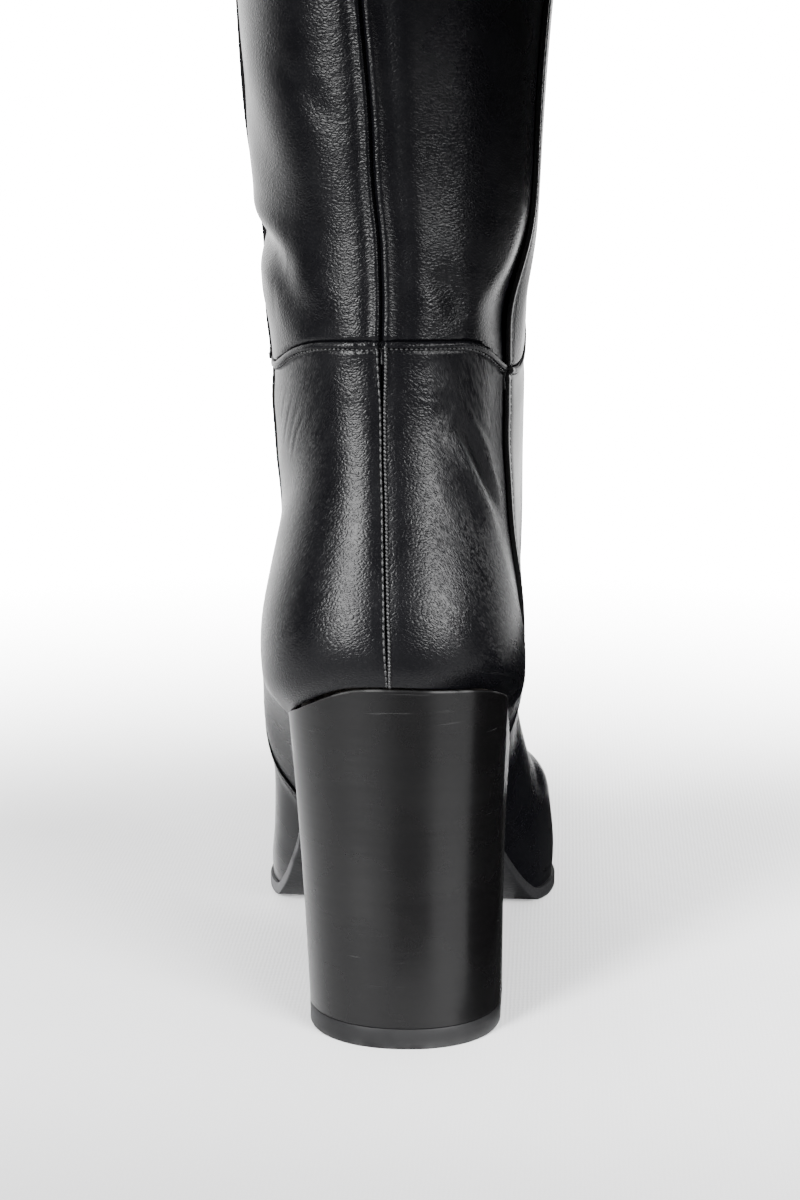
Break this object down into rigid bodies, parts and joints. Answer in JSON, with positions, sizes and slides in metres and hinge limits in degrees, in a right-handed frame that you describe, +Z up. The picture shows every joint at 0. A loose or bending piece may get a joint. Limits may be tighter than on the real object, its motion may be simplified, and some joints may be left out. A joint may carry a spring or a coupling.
{
  "type": "over-the-knee boot",
  "caption": "Tall black leather boot for the left foot: straight leg tube over the knee, smooth seamed upper, thin leather sole and a high block heel.",
  "frame": {"origin": "centre of the heel's flat underside, on the floor", "axes": "+Y towards the toe, +Z up the leg, +X towards the inner side of the left foot"},
  "size_m": [0.125, 0.2604, 0.6402],
  "materials": {
    "upper_leather": "smooth black calf, semi-gloss",
    "lining_leather": "dark matte lining leather",
    "sole_leather": "black painted sole leather with a grey worn edge",
    "stacked_heel": "black polished stacked leather",
    "top_piece_rubber": "matte black rubber, dusty at the edge",
    "thread": "waxed black thread"
  },
  "bodies": {
    "root": {"upper": "upper_leather", "shaft": "upper_leather", "insole": "lining_leather", "outsole": "sole_leather", "heel_block": "stacked_heel", "heel_top_piece": "top_piece_rubber"}
  },
  "joints": []
}
